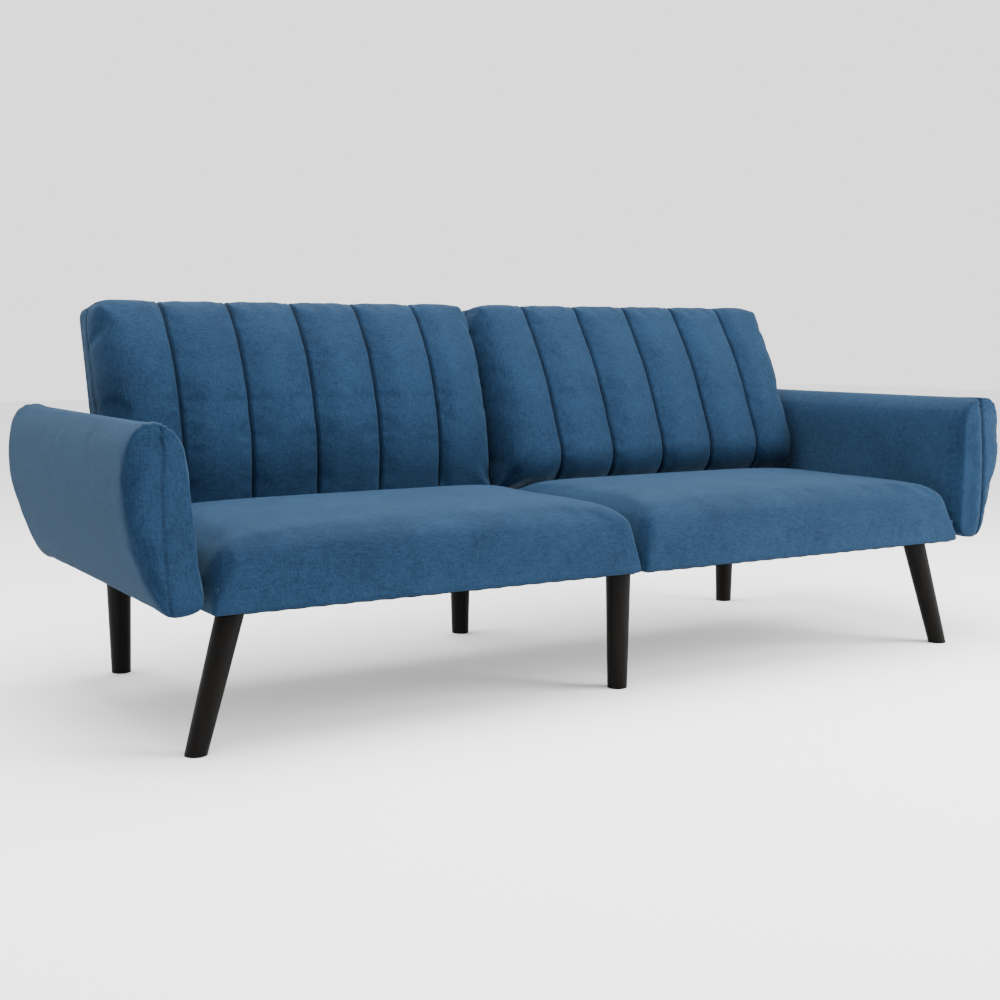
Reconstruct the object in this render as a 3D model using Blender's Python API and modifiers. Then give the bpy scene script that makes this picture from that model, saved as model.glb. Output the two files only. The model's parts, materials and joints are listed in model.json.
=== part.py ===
"""Split-back futon sofa bed.

Two upholstered seat halves on timber frames stand on six round legs, between two rolled arms.
Each back half hinges on its own pair of steel plates and folds down level with the seat.

Metres, +Z up, +X along the sofa, the front faces -Y. The origin is on the floor, at the middle.
Each back half is modelled about its hinge: local +Z runs up the back and local +Y to its rear.
"""

import math

import bmesh
import bpy
from mathutils import Vector

# Whole sofa
HALF_DEPTH = 0.4125
JOINT_GAP = 0.0003
SOFT_EDGE = 0.034
SIDES = {"left": -1, "right": 1}

# Seat
SEAT_BOTTOM = 0.2515
SEAT_EDGE_TOP = 0.374
SEAT_CROWN = 0.024
SEAT_REAR = 0.140
SEAT_INNER = 0.003
SEAT_OUTER = 0.905
SKIRT = 0.0105
FOAM_BOTTOM = 0.2995

# Seat frame
COVER_BOTTOM = 0.2520
COVER_THICK = 0.0012
RAIL_BOTTOM = COVER_BOTTOM + COVER_THICK + JOINT_GAP
RAIL_TOP = RAIL_BOTTOM + 0.040
BROAD_RAIL = 0.080
OUTER_RAIL = 0.070
INNER_RAIL = 0.040
SPRINGS_PER_HALF = 5
SPRING_WIRE = 0.002
SPRING_SWING = 0.024
SPRING_TURNS = 8
TIE_WIRE_REACH = 0.008

# Beams that carry the rear legs and the hinges
BEAM_X = 0.842
BEAM_WIDE = 0.040
BEAM_FRONT = -0.100
BEAM_REAR = 0.385
BEAM_BOTTOM = 0.205
BEAM_TOP = SEAT_BOTTOM - 0.0005
BEAM_LOW_TOP = 0.240
BEAM_STEP = 0.150
BEAM_STEP_RUN = 0.015

# Legs
LEG_FOOT = 0.0205
LEG_TOP = 0.026
PLATE_THICK = 0.0040
PLATE_FRONT = (0.074, 0.070)
PLATE_REAR = (0.060, 0.070)
PLATE_CENTER = (0.090, 0.070)
FRONT_FOOT = (0.918, -0.346)
FRONT_TOP = (0.843, -0.331)
FRONT_CENTER = (0.0, -0.3205)
REAR_FOOT = (0.841, 0.3495)
REAR_CENTER = (0.0, 0.3405)

# Hinges and backs
HINGE_Y = 0.1524
HINGE_Z = 0.350
LEAN = math.radians(15.7)
HINGE_PLATE = 0.003
HINGE_EYE = 0.011
PIN_RADIUS = 0.004
PIN_CLEARANCE = 0.0004
PIN_HEAD = 0.007
PIN_HEAD_TALL = 0.0022
HINGE_FOOT_FRONT = 0.080
HINGE_FOOT_REAR = 0.070
HINGE_FOOT_RISE = 0.004
STRAP_FRONT = 0.062
STRAP_REAR = 0.088
STRAP_TOP = 0.200
BACK_FOOT = 0.0185
BACK_LENGTH = 0.4585
BACK_SEAM = 0.015
BACK_REAR = 0.105
BACK_CROWN = 0.068
BACK_INNER = 0.004
BACK_OUTER = 0.903
BACK_SKIRT = 0.008
BACK_RAIL_FRONT = 0.055
BACK_RAIL_REAR = 0.095
BACK_RAIL = 0.042
OUTER_STILE = 0.024
INNER_STILE = 0.030
FRAME_FOOT_GAP = 0.010
FRAME_TOP_GAP = 0.024
WEBBING_STRAP = 0.050
WEBBING_THICK = 0.002
LINING_INSET = 0.0075
LINING_THICK = 0.0015

# Arms
ARM_PANEL_INNER = 0.945
ARM_PANEL_THICK = 0.015
ARM_PANEL_FOOT = 0.266
ARM_PANEL_TOP = 0.510
ARM_PANEL_HALF = 0.385
ARM_EDGE = 0.016


def clear_scene():
    for obj in list(bpy.data.objects):
        bpy.data.objects.remove(obj, do_unlink=True)


def make_collection(name):
    collection = bpy.data.collections.new(name)
    bpy.context.scene.collection.children.link(collection)
    return collection


clear_scene()
SOFA = make_collection("futon_sofa_bed")
CUTTERS = make_collection("cutters")
CUTTERS.hide_render = True


def make_material(name, colour, roughness, metallic=0.0):
    mat = bpy.data.materials.new(name)
    mat.use_nodes = True
    shader = mat.node_tree.nodes["Principled BSDF"]
    shader.inputs["Base Color"].default_value = (*colour, 1.0)
    shader.inputs["Roughness"].default_value = roughness
    shader.inputs["Metallic"].default_value = metallic
    mat.diffuse_color = (*colour, 1.0)
    return mat


def add_object(name, data, material, location=(0, 0, 0), parent=None):
    """Links an object with a material of its own."""
    obj = bpy.data.objects.new(name, data)
    SOFA.objects.link(obj)
    data.materials.append(make_material(name, *material))
    obj.location = location
    obj.parent = parent
    return obj


LINEN = ((0.045, 0.125, 0.235), 0.9)
TIMBER = ((0.62, 0.45, 0.27), 0.7)
PLYWOOD = ((0.70, 0.55, 0.36), 0.7)
EBONY = ((0.012, 0.011, 0.011), 0.35)
STEEL = ((0.42, 0.43, 0.45), 0.38, 0.9)
BLACK_STEEL = ((0.03, 0.03, 0.03), 0.45, 0.6)
BLACK_CLOTH = ((0.02, 0.02, 0.022), 0.95)
WEBBING = ((0.55, 0.47, 0.36), 0.9)


def box_mesh(name, size):
    bm = bmesh.new()
    bmesh.ops.create_cube(bm, size=1.0)
    bmesh.ops.scale(bm, vec=size, verts=bm.verts)
    mesh = bpy.data.meshes.new(name)
    bm.to_mesh(mesh)
    bm.free()
    return mesh


def add_box(name, low, high, material, parent=None):
    """A box between two corners, with its origin at its middle."""
    low, high = Vector(low), Vector(high)
    mesh = box_mesh(name, high - low)
    return add_object(name, mesh, material, (low + high) / 2, parent)


def ordered(a, b):
    return min(a, b), max(a, b)


def add_mirrored_box(name, side, x_span, y_span, z_span, material, parent=None):
    """A box on one side of the sofa, given by its distances from the middle."""
    x0, x1 = ordered(side * x_span[0], side * x_span[1])
    low = (x0, y_span[0], z_span[0])
    high = (x1, y_span[1], z_span[1])
    return add_box(name, low, high, material, parent)


def cut_box(target, low, high, parent=None):
    """Takes a box away from the target."""
    low, high = Vector(low), Vector(high)
    cutter = bpy.data.objects.new(target.name + "_cutter", box_mesh("cutter", high - low))
    CUTTERS.objects.link(cutter)
    cutter.location = (low + high) / 2
    cutter.parent = parent
    cutter.hide_render = True
    cutter.display_type = "WIRE"
    boolean = target.modifiers.new("cut", "BOOLEAN")
    boolean.operation = "DIFFERENCE"
    boolean.object = cutter


def smooth(obj, angle=35.0):
    obj.data.shade_smooth()
    obj.data.set_sharp_from_angle(angle=math.radians(angle))


def cage_place(share, cuts, inset):
    """Moves a grid line next to an edge close to it, so that the soft edge stays small."""
    first = 1.0 - 2.0 / (cuts + 1)
    if abs(share) > 0.99 or first <= 0.0:
        return share
    return share / first * (1.0 - inset)


def add_cushion(name, low, high, cuts, edge, shape, hard_side, material, parent=None):
    """A soft block: a grid cage with close edge loops, moved by shape(point, x, y, z), then smoothed.

    x, y and z run from -1 to 1 across the block. The edges round the hard side stay sharp.
    """
    low, high = Vector(low), Vector(high)
    size = high - low
    bm = bmesh.new()
    bmesh.ops.create_cube(bm, size=2.0)
    bmesh.ops.subdivide_edges(bm, edges=bm.edges, cuts=cuts, use_grid_fill=True)
    crease = bm.edges.layers.float.new("crease_edge")
    for rim in bm.edges:
        flat = all(hard_side(vert.co) for vert in rim.verts)
        if flat and rim.calc_face_angle(0.0) > math.radians(60):
            rim[crease] = 1.0
    for vert in bm.verts:
        place = [cage_place(vert.co[k], cuts, 2.0 * edge / size[k]) for k in range(3)]
        vert.co = [place[k] * size[k] / 2 for k in range(3)]
        shape(vert.co, *place)
    mesh = bpy.data.meshes.new(name)
    bm.to_mesh(mesh)
    bm.free()
    cushion = add_object(name, mesh, material, (low + high) / 2, parent)
    soften = cushion.modifiers.new("soften", "SUBSURF")
    soften.levels = 1
    soften.render_levels = 1
    return cushion


# ---------------------------------------------------------------- seat


def seat_shape(point, x, y, z):
    """The top is crowned between its edges."""
    if z > 0:
        point.z += z * SEAT_CROWN * (1.0 - x**6) * (1.0 - y**6)


def make_seat_cushion(name, side):
    """A crowned pad with a cover that reaches down round the frame as a skirt."""
    x0, x1 = ordered(side * SEAT_INNER, side * SEAT_OUTER)
    low = (x0, -HALF_DEPTH, SEAT_BOTTOM)
    high = (x1, SEAT_REAR, SEAT_EDGE_TOP)
    cushion = add_cushion(name, low, high, 4, SOFT_EDGE, seat_shape, lambda co: co.z < -0.99, LINEN)
    hollow_low = (x0 + SKIRT, -HALF_DEPTH + SKIRT, SEAT_BOTTOM - 0.01)
    hollow_high = (x1 - SKIRT, SEAT_REAR - SKIRT, FOAM_BOTTOM)
    cut_box(cushion, hollow_low, hollow_high)
    smooth(cushion)


def make_seat_frame(word, side):
    """Four rails under each seat half, inside the skirt of its cover."""
    inner = SEAT_INNER + SKIRT + JOINT_GAP
    outer = SEAT_OUTER - SKIRT - JOINT_GAP
    front = -HALF_DEPTH + SKIRT + JOINT_GAP
    rear = SEAT_REAR - SKIRT - JOINT_GAP
    height = (RAIL_BOTTOM, RAIL_TOP)
    between = (front + BROAD_RAIL + JOINT_GAP, rear - BROAD_RAIL - JOINT_GAP)
    spans = {
        "front": ((inner, outer), (front, front + BROAD_RAIL)),
        "rear": ((inner, outer), (rear - BROAD_RAIL, rear)),
        "inner": ((inner, inner + INNER_RAIL), between),
        "outer": ((outer - OUTER_RAIL, outer), between),
    }
    for place, (x_span, y_span) in spans.items():
        name = f"seat_{place}_rail_{word}"
        add_mirrored_box(name, side, x_span, y_span, height, TIMBER)
    cover = (COVER_BOTTOM, COVER_BOTTOM + COVER_THICK)
    add_mirrored_box(f"dust_cover_{word}", side, (inner, outer), (front, rear), cover, BLACK_CLOTH)
    make_seat_springs(f"seat_springs_{word}", side, inner, outer, front, rear)


def tube_curve(name, points, radius):
    """A curve through straight runs, with a round section of six sides and filled ends."""
    curve = bpy.data.curves.new(name, "CURVE")
    curve.dimensions = "3D"
    curve.bevel_depth = radius
    curve.bevel_resolution = 1
    curve.use_fill_caps = True
    spline = curve.splines.new("POLY")
    spline.points.add(len(points) - 1)
    for target, point in zip(spline.points, points):
        target.co = (*point, 1.0)
    return curve


def tube_mesh(name, points, radius):
    """The same tube as a closed mesh, for a union."""
    source = bpy.data.objects.new(name, tube_curve(name, points, radius))
    CUTTERS.objects.link(source)
    graph = bpy.context.evaluated_depsgraph_get()
    mesh = bpy.data.meshes.new_from_object(source.evaluated_get(graph))
    bpy.data.objects.remove(source, do_unlink=True)
    bm = bmesh.new()
    bm.from_mesh(mesh)
    bmesh.ops.remove_doubles(bm, verts=bm.verts, dist=0.00001)
    bmesh.ops.recalc_face_normals(bm, faces=bm.faces)
    bm.to_mesh(mesh)
    bm.free()
    return mesh


def zigzag_points(x, start, end, height):
    """A sinuous spring: cross runs joined by short runs at alternate sides."""
    runs = 2 * SPRING_TURNS
    pitch = (end - start) / runs
    points = [(x, start, height)]
    for run in range(runs):
        swing = SPRING_SWING if run % 2 else -SPRING_SWING
        y = start + pitch * run
        points.append((x + swing, y + 0.25 * pitch, height))
        points.append((x + swing, y + 0.75 * pitch, height))
    points.append((x, end, height))
    return points


def make_seat_springs(name, side, inner, outer, front, rear):
    """Sinuous springs across the rails, held side by side by two tie wires."""
    height = RAIL_TOP + JOINT_GAP + SPRING_WIRE
    start = front + 0.3 * BROAD_RAIL
    end = rear - 0.3 * BROAD_RAIL
    pitch = (outer - inner) / SPRINGS_PER_HALF
    springs = add_object(name, bpy.data.meshes.new(name), STEEL)
    pieces = []
    for index in range(SPRINGS_PER_HALF):
        x = side * (inner + pitch * (index + 0.5))
        pieces.append(tube_mesh(name, zigzag_points(x, start, end, height), SPRING_WIRE))
    run = (end - start) / (2 * SPRING_TURNS)
    reach = SPRING_SWING + TIE_WIRE_REACH
    for turn in (5, 10):
        y = start + run * (turn + 0.5)
        x0 = side * (inner + 0.5 * pitch) - side * reach
        x1 = side * (outer - 0.5 * pitch) + side * reach
        pieces.append(tube_mesh(name, [(x0, y, height), (x1, y, height)], 1.3 * SPRING_WIRE))
    springs.data = pieces[0]
    springs.data.materials.append(bpy.data.materials[name])
    for piece in pieces[1:]:
        other = bpy.data.objects.new(name + "_part", piece)
        CUTTERS.objects.link(other)
        other.hide_render = True
        other.display_type = "WIRE"
        union = springs.modifiers.new("join", "BOOLEAN")
        union.operation = "UNION"
        union.object = other


# ---------------------------------------------------------------- beams and legs


def outline_plate(name, outlines, thickness, x, material, parent=None):
    """A flat plate standing in the Y-Z plane, from closed outlines of (y, z); later ones are holes."""
    curve = bpy.data.curves.new(name, "CURVE")
    curve.dimensions = "2D"
    curve.fill_mode = "BOTH"
    curve.extrude = thickness / 2
    for outline in outlines:
        spline = curve.splines.new("POLY")
        spline.points.add(len(outline) - 1)
        for target, (y, z) in zip(spline.points, outline):
            target.co = (y, z, 0.0, 1.0)
        spline.use_cyclic_u = True
    plate = add_object(name, curve, material, (x, 0, 0), parent)
    plate.rotation_euler = (math.radians(90), 0, math.radians(90))
    return plate


def make_beams():
    """Each beam steps down behind the seat, so that the flat back clears it."""
    outline = [
        (BEAM_FRONT, BEAM_BOTTOM),
        (BEAM_REAR, BEAM_BOTTOM),
        (BEAM_REAR, BEAM_LOW_TOP),
        (BEAM_STEP, BEAM_LOW_TOP),
        (BEAM_STEP - BEAM_STEP_RUN, BEAM_TOP),
        (BEAM_FRONT, BEAM_TOP),
    ]
    for word, x in (("left", -BEAM_X), ("center", 0.0), ("right", BEAM_X)):
        outline_plate(f"leg_beam_{word}", [outline], BEAM_WIDE, x, TIMBER)


def make_leg(name, foot, top, height):
    """A round tapered leg. Its ends stay level while its axis leans."""
    bm = bmesh.new()
    bmesh.ops.create_cone(
        bm, cap_ends=True, segments=28, radius1=LEG_FOOT, radius2=LEG_TOP, depth=height
    )
    lean = Vector((top[0] - foot[0], top[1] - foot[1], 0.0))
    for vert in bm.verts:
        vert.co.z += height / 2
        vert.co += lean * (vert.co.z / height)
    mesh = bpy.data.meshes.new(name)
    bm.to_mesh(mesh)
    bm.free()
    leg = add_object(name, mesh, EBONY, (*foot, 0.0))
    smooth(leg)


def make_leg_plate(name, at, top, size):
    low = (at[0] - size[0] / 2, at[1] - size[1] / 2, top - PLATE_THICK)
    high = (at[0] + size[0] / 2, at[1] + size[1] / 2, top)
    add_box(name, low, high, BLACK_STEEL)


def make_legs():
    front_top = COVER_BOTTOM - 3 * JOINT_GAP
    rear_top = BEAM_BOTTOM - JOINT_GAP
    sets = [("front_center", FRONT_CENTER, FRONT_CENTER, front_top, PLATE_CENTER)]
    sets.append(("rear_center", REAR_CENTER, REAR_CENTER, rear_top, PLATE_REAR))
    for word, side in SIDES.items():
        foot = (side * FRONT_FOOT[0], FRONT_FOOT[1])
        top = (side * FRONT_TOP[0], FRONT_TOP[1])
        rear = (side * REAR_FOOT[0], REAR_FOOT[1])
        sets.append((f"front_{word}", foot, top, front_top, PLATE_FRONT))
        sets.append((f"rear_{word}", rear, rear, rear_top, PLATE_REAR))
    for place, foot, top, plate_top, size in sets:
        make_leg_plate(f"leg_plate_{place}", top, plate_top, size)
        make_leg(f"leg_{place}", foot, top, plate_top - PLATE_THICK - JOINT_GAP)


# ---------------------------------------------------------------- arms


def arm_outline():
    """The arm's section as (distance from the middle, height), inner foot first."""
    inner = [(0.9115, 0.262), (0.918, 0.330), (0.928, 0.440), (0.941, 0.535)]
    roll = [(0.965, 0.574), (0.997, 0.587), (1.018, 0.570), (1.031, 0.528)]
    belly = [(1.0375, 0.478), (1.032, 0.420), (1.011, 0.345), (0.983, 0.278)]
    foot = [(0.962, 0.2555), (0.935, 0.2525)]
    return inner + roll + belly + foot


def make_arm_pad(name, side):
    """The section swept from front to rear, with soft edges round both ends."""
    curve = bpy.data.curves.new(name, "CURVE")
    curve.dimensions = "2D"
    curve.fill_mode = "BOTH"
    curve.extrude = HALF_DEPTH - ARM_EDGE
    curve.bevel_depth = ARM_EDGE
    curve.offset = -ARM_EDGE
    curve.bevel_resolution = 2
    curve.resolution_u = 3
    outline = arm_outline()
    spline = curve.splines.new("BEZIER")
    spline.bezier_points.add(len(outline) - 1)
    for point, (x, z) in zip(spline.bezier_points, outline):
        point.co = (side * x, z, 0.0)
        point.handle_left_type = "AUTO"
        point.handle_right_type = "AUTO"
    spline.use_cyclic_u = True
    source = bpy.data.objects.new(name, curve)
    CUTTERS.objects.link(source)
    source.rotation_euler = (math.radians(90), 0, 0)
    bpy.context.view_layer.update()
    graph = bpy.context.evaluated_depsgraph_get()
    mesh = bpy.data.meshes.new_from_object(source.evaluated_get(graph))
    mesh.transform(source.matrix_world)
    bpy.data.objects.remove(source, do_unlink=True)
    bm = bmesh.new()
    bm.from_mesh(mesh)
    bmesh.ops.remove_doubles(bm, verts=bm.verts, dist=0.00001)
    bmesh.ops.recalc_face_normals(bm, faces=bm.faces)
    bm.to_mesh(mesh)
    bm.free()
    pad = add_object(name, mesh, LINEN)
    x0 = ARM_PANEL_INNER - JOINT_GAP
    x1 = ARM_PANEL_INNER + ARM_PANEL_THICK + JOINT_GAP
    x0, x1 = ordered(side * x0, side * x1)
    reach = ARM_PANEL_HALF + JOINT_GAP
    cut_box(pad, (x0, -reach, SEAT_BOTTOM - 0.05), (x1, reach, ARM_PANEL_TOP + JOINT_GAP))
    smooth(pad)


def make_arm(word, side):
    make_arm_pad(f"arm_pad_{word}", side)
    x_span = (ARM_PANEL_INNER, ARM_PANEL_INNER + ARM_PANEL_THICK)
    y_span = (-ARM_PANEL_HALF, ARM_PANEL_HALF)
    z_span = (ARM_PANEL_FOOT, ARM_PANEL_TOP)
    add_mirrored_box(f"arm_panel_{word}", side, x_span, y_span, z_span, PLYWOOD)


# ---------------------------------------------------------------- hinges


def circle(y, z, radius, sides, start=0.0):
    step = 2 * math.pi / sides
    return [
        (y + radius * math.cos(start + step * k), z + radius * math.sin(start + step * k))
        for k in range(sides)
    ]


def arc(y, z, radius, start, end, steps):
    """Points on an arc, its angles in degrees from +Y towards +Z."""
    points = []
    for k in range(steps + 1):
        angle = math.radians(start + (end - start) * k / steps)
        points.append((y + radius * math.cos(angle), z + radius * math.sin(angle)))
    return points


def seat_plate_outline():
    """A foot bolted along the beam, and a neck that rises to the eye."""
    neck = HINGE_EYE - 0.0005
    eye = arc(HINGE_Y, HINGE_Z, HINGE_EYE, 0, 180, 10)
    foot = [
        (HINGE_Y - neck, BEAM_TOP),
        (HINGE_Y - HINGE_FOOT_FRONT, BEAM_TOP),
        (HINGE_Y - HINGE_FOOT_FRONT, BEAM_BOTTOM + HINGE_FOOT_RISE),
        (HINGE_Y + HINGE_FOOT_REAR, BEAM_BOTTOM + HINGE_FOOT_RISE),
        (HINGE_Y + HINGE_FOOT_REAR, BEAM_LOW_TOP),
        (HINGE_Y + neck, BEAM_LOW_TOP),
    ]
    return eye + foot


def back_arm_outline():
    """In the back's own plane: the eye, a crank behind the seat's rear edge, and a strap up the stile."""
    eye = arc(0.0, 0.0, HINGE_EYE - 0.001, 90, 270, 10)
    crank = [
        (STRAP_REAR - 0.012, -0.010),
        (STRAP_REAR, 0.002),
        (STRAP_REAR, STRAP_TOP),
        (STRAP_FRONT, STRAP_TOP),
        (STRAP_FRONT, 0.012),
    ]
    return eye + crank


def hinge_places(side):
    """For one back half: each hinge's name, the x of its seat plate and of its back arm."""
    step = HINGE_PLATE + JOINT_GAP
    face = BEAM_WIDE / 2 + JOINT_GAP + HINGE_PLATE / 2
    return [
        ("outer", side * (BEAM_X + face), side * (BEAM_X + face + step)),
        ("inner", side * face, side * (face + step)),
    ]


def make_pin(name, seat_x, arm_x):
    """A shouldered pin along X: a domed head outside the back arm, and a shank through both plates."""
    outward = math.copysign(1.0, arm_x)
    head_low = abs(arm_x) + HINGE_PLATE / 2 + JOINT_GAP
    head_top = head_low + PIN_HEAD_TALL
    tail = abs(seat_x) - HINGE_PLATE / 2 - JOINT_GAP / 2
    profile = [
        (0.0, head_top),
        (0.65 * PIN_HEAD, head_top),
        (PIN_HEAD, head_low + PIN_HEAD_TALL / 3),
        (PIN_HEAD, head_low),
        (PIN_RADIUS, head_low),
        (PIN_RADIUS, tail),
        (0.0, tail),
    ]
    middle = (head_top + tail) / 2
    mesh = bpy.data.meshes.new(name)
    points = [(radius, 0.0, height - middle) for radius, height in profile]
    mesh.from_pydata(points, [(k, k + 1) for k in range(len(points) - 1)], [])
    pin = add_object(name, mesh, STEEL, (outward * middle, HINGE_Y, HINGE_Z))
    pin.rotation_euler = (0, outward * math.radians(90), 0)
    screw = pin.modifiers.new("turn", "SCREW")
    screw.axis = "Z"
    screw.steps = 24
    screw.render_steps = 24
    screw.use_merge_vertices = True
    screw.merge_threshold = 0.00001


def make_hinges(word, side, pivot):
    for place, seat_x, arm_x in hinge_places(side):
        hole = circle(HINGE_Y, HINGE_Z, PIN_RADIUS + PIN_CLEARANCE, 24)
        name = f"hinge_seat_plate_{word}_{place}"
        outline_plate(name, [seat_plate_outline(), hole], HINGE_PLATE, seat_x, STEEL)
        hole = circle(0.0, 0.0, PIN_RADIUS + PIN_CLEARANCE, 24)
        name = f"hinge_back_arm_{word}_{place}"
        outline_plate(name, [back_arm_outline(), hole], HINGE_PLATE, arm_x, STEEL, pivot)
        make_pin(f"hinge_pin_{word}_{place}", seat_x, arm_x)


# ---------------------------------------------------------------- backs


def make_pivot(word):
    """The hinge axis of one back half. Its children are built upright and lean with it."""
    pivot = bpy.data.objects.new(f"back_pivot_{word}", None)
    SOFA.objects.link(pivot)
    pivot.location = (0.0, HINGE_Y, HINGE_Z)
    pivot.rotation_euler.x = -LEAN
    return pivot


def back_shape(point, x, y, z):
    """The front face swells between its seams, most at mid height."""
    if y < 0:
        point.y += y * BACK_CROWN * (1.0 - z * z) * (1.0 - x**8)


def make_back_cushion(word, side, pivot):
    """A swollen pad with a boxed rear, hollow where the frame sits."""
    x0, x1 = ordered(side * BACK_INNER, side * BACK_OUTER)
    foot, top = BACK_FOOT, BACK_FOOT + BACK_LENGTH
    low = (x0, BACK_SEAM, foot)
    high = (x1, BACK_REAR, top)
    name = f"back_cushion_{word}"
    cushion = add_cushion(
        name, low, high, 5, SOFT_EDGE, back_shape, lambda co: co.y > 0.99, LINEN, pivot
    )
    hollow_low = (x0 + BACK_SKIRT, BACK_RAIL_FRONT - WEBBING_THICK - 4 * JOINT_GAP, foot + BACK_SKIRT)
    hollow_high = (x1 - BACK_SKIRT, BACK_REAR + 0.01, top - BACK_SKIRT)
    cut_box(cushion, hollow_low, hollow_high, pivot)
    for _, _, arm_x in hinge_places(side):
        slot_low = (arm_x - HINGE_PLATE, BACK_RAIL_FRONT, foot - 0.01)
        slot_high = (arm_x + HINGE_PLATE, BACK_REAR + 0.01, foot + BACK_SKIRT + 0.001)
        cut_box(cushion, slot_low, slot_high, pivot)
    smooth(cushion)


def make_back_frame(word, side, pivot):
    """Two rails and two stiles. The rails stop at the outer hinge arm, which the stile clamps."""
    depth = (BACK_RAIL_FRONT, BACK_RAIL_REAR)
    arm_x = {place: abs(x) for place, _, x in hinge_places(side)}
    half = HINGE_PLATE / 2 + JOINT_GAP
    outer_stile = (arm_x["outer"] + half, arm_x["outer"] + half + OUTER_STILE)
    inner_stile = (arm_x["inner"] + half, arm_x["inner"] + half + INNER_STILE)
    foot = BACK_FOOT + BACK_SKIRT + FRAME_FOOT_GAP
    top = BACK_FOOT + BACK_LENGTH - BACK_SKIRT - FRAME_TOP_GAP
    rail_x = (inner_stile[1] + JOINT_GAP, arm_x["outer"] - half)
    add_mirrored_box(f"back_outer_stile_{word}", side, outer_stile, depth, (foot, top), TIMBER, pivot)
    add_mirrored_box(f"back_inner_stile_{word}", side, inner_stile, depth, (foot, top), TIMBER, pivot)
    lower = (foot, foot + BACK_RAIL)
    upper = (top - BACK_RAIL, top)
    add_mirrored_box(f"back_lower_rail_{word}", side, rail_x, depth, lower, TIMBER, pivot)
    add_mirrored_box(f"back_upper_rail_{word}", side, rail_x, depth, upper, TIMBER, pivot)
    make_back_webbing(word, side, pivot, (inner_stile[0], outer_stile[1]), (foot, top))


def make_back_webbing(word, side, pivot, x_span, z_span):
    """Woven straps across the frame, under the foam, as one lattice."""
    strap, columns, rows = WEBBING_STRAP, 6, 2
    wide = x_span[1] - x_span[0]
    tall = z_span[1] - z_span[0]
    hole_x = (wide - strap * (columns + 1)) / columns
    hole_z = (tall - strap * (rows + 1)) / rows
    curve = bpy.data.curves.new(f"back_webbing_{word}", "CURVE")
    curve.dimensions = "2D"
    curve.fill_mode = "BOTH"
    curve.extrude = WEBBING_THICK / 2
    outlines = [(0.0, 0.0, wide, tall)]
    for column in range(columns):
        for row in range(rows):
            x = strap + column * (strap + hole_x)
            z = strap + row * (strap + hole_z)
            outlines.append((x, z, x + hole_x, z + hole_z))
    for x0, z0, x1, z1 in outlines:
        spline = curve.splines.new("POLY")
        spline.points.add(3)
        corners = ((x0, z0), (x1, z0), (x1, z1), (x0, z1))
        for target, (x, z) in zip(spline.points, corners):
            target.co = (side * (x_span[0] + x), z_span[0] + z, 0.0, 1.0)
        spline.use_cyclic_u = True
    place = (0.0, BACK_RAIL_FRONT - JOINT_GAP - WEBBING_THICK / 2, 0.0)
    webbing = add_object(f"back_webbing_{word}", curve, WEBBING, place, pivot)
    webbing.rotation_euler.x = math.radians(90)


def make_back_lining(word, side, pivot):
    """A thin cloth panel that closes the rear of the back."""
    inset = BACK_SKIRT + JOINT_GAP
    x_span = (BACK_INNER + inset, BACK_OUTER - inset)
    y_span = (BACK_REAR - LINING_INSET - LINING_THICK, BACK_REAR - LINING_INSET)
    z_span = (BACK_FOOT + inset, BACK_FOOT + BACK_LENGTH - inset)
    add_mirrored_box(f"back_lining_{word}", side, x_span, y_span, z_span, BLACK_CLOTH, pivot)


def make_sofa():
    make_beams()
    make_legs()
    for word, side in SIDES.items():
        make_seat_cushion(f"seat_cushion_{word}", side)
        make_seat_frame(word, side)
        make_arm(word, side)
        pivot = make_pivot(word)
        make_hinges(word, side, pivot)
        make_back_cushion(word, side, pivot)
        make_back_frame(word, side, pivot)
        make_back_lining(word, side, pivot)


make_sofa()
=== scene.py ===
"""Looks of the split-back futon sofa bed: upholstery, materials, light and camera.

Metres, in the CAD's frame: +X along the sofa, the front faces -Y, +Z up, the floor at z = 0.
"""

import json
import math

import bmesh
import bpy
import numpy as np
from mathutils import Matrix, Vector, noise


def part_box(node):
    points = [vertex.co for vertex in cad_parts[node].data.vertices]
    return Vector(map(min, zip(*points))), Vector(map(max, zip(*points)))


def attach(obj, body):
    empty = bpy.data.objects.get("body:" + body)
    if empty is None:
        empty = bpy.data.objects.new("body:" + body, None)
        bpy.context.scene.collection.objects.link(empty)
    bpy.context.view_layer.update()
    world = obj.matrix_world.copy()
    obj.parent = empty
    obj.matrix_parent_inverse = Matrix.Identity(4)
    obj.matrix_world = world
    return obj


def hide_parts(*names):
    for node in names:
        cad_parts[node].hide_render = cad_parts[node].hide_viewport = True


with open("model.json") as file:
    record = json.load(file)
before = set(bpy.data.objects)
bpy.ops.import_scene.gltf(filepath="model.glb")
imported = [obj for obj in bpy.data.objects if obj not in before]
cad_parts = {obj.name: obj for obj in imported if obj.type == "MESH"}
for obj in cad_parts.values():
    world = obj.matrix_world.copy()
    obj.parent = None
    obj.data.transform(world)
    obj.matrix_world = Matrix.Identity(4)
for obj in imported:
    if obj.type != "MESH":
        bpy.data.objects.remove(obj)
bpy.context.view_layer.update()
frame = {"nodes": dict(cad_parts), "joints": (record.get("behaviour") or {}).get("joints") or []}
SCENE = bpy.context.scene
SIDES = {"left": -1, "right": 1}
SWELLS = {}  # how each kind of cushion swelled when its first side was simulated

# Cages: the steps between cage lines, which two subdivisions make four times finer
CAGE_STEP = 0.022
SEAM_STEP = 0.006
RIM = 0.006  # rounding where a cover turns over a hard edge

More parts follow.
